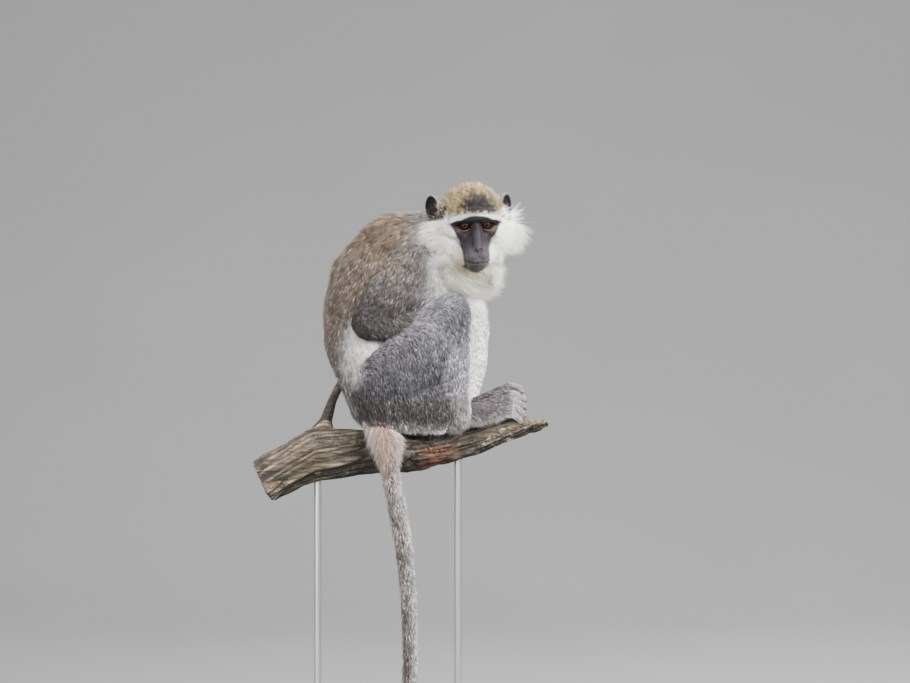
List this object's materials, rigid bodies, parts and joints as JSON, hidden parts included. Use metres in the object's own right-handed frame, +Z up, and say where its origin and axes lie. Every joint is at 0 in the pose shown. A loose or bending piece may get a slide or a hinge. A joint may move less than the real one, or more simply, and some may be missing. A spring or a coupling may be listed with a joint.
{
  "type": "vervet monkey",
  "caption": "Life-size seated vervet monkey with white cheek whiskers and a hanging tail, perched on a cut branch held by rods on a plain wooden display base.",
  "frame": {"origin": "centre of the display base's underside, on the floor", "axes": "+Z up; +X along the branch towards its broken tip, the way the body faces; -Y the way the turned head looks"},
  "size_m": [0.4037, 0.28, 0.8853],
  "materials": {
    "grey_brown_coat": "short speckled grey-brown hair",
    "white_and_olive_coat": "long white cheek hair, olive crown, bare dark face",
    "dark_skin": "bare dark skin",
    "eye_brown": "wet, glossy",
    "dead_wood": "weathered bark, rough",
    "stand_wood": "dark satin varnish",
    "stand_steel": "brushed"
  },
  "bodies": {
    "root": {"head": "white_and_olive_coat", "neck": "grey_brown_coat", "trunk": "grey_brown_coat", "ear_left": "dark_skin", "ear_right": "dark_skin", "eye_left": "eye_brown", "eye_right": "eye_brown", "upper_arm_left": "grey_brown_coat", "upper_arm_right": "grey_brown_coat", "forearm_left": "grey_brown_coat", "forearm_right": "grey_brown_coat", "hand_left": "grey_brown_coat", "hand_right": "grey_brown_coat", "thigh_left": "grey_brown_coat", "thigh_right": "grey_brown_coat", "shank_left": "grey_brown_coat", "shank_right": "grey_brown_coat", "foot_left": "grey_brown_coat", "foot_right": "grey_brown_coat", "tail_base": "grey_brown_coat", "tail_middle": "grey_brown_coat", "tail_tip": "grey_brown_coat", "perch_branch": "dead_wood", "stand_base": "stand_wood", "stand_rod_back": "stand_steel", "stand_rod_front": "stand_steel"}
  },
  "joints": []
}
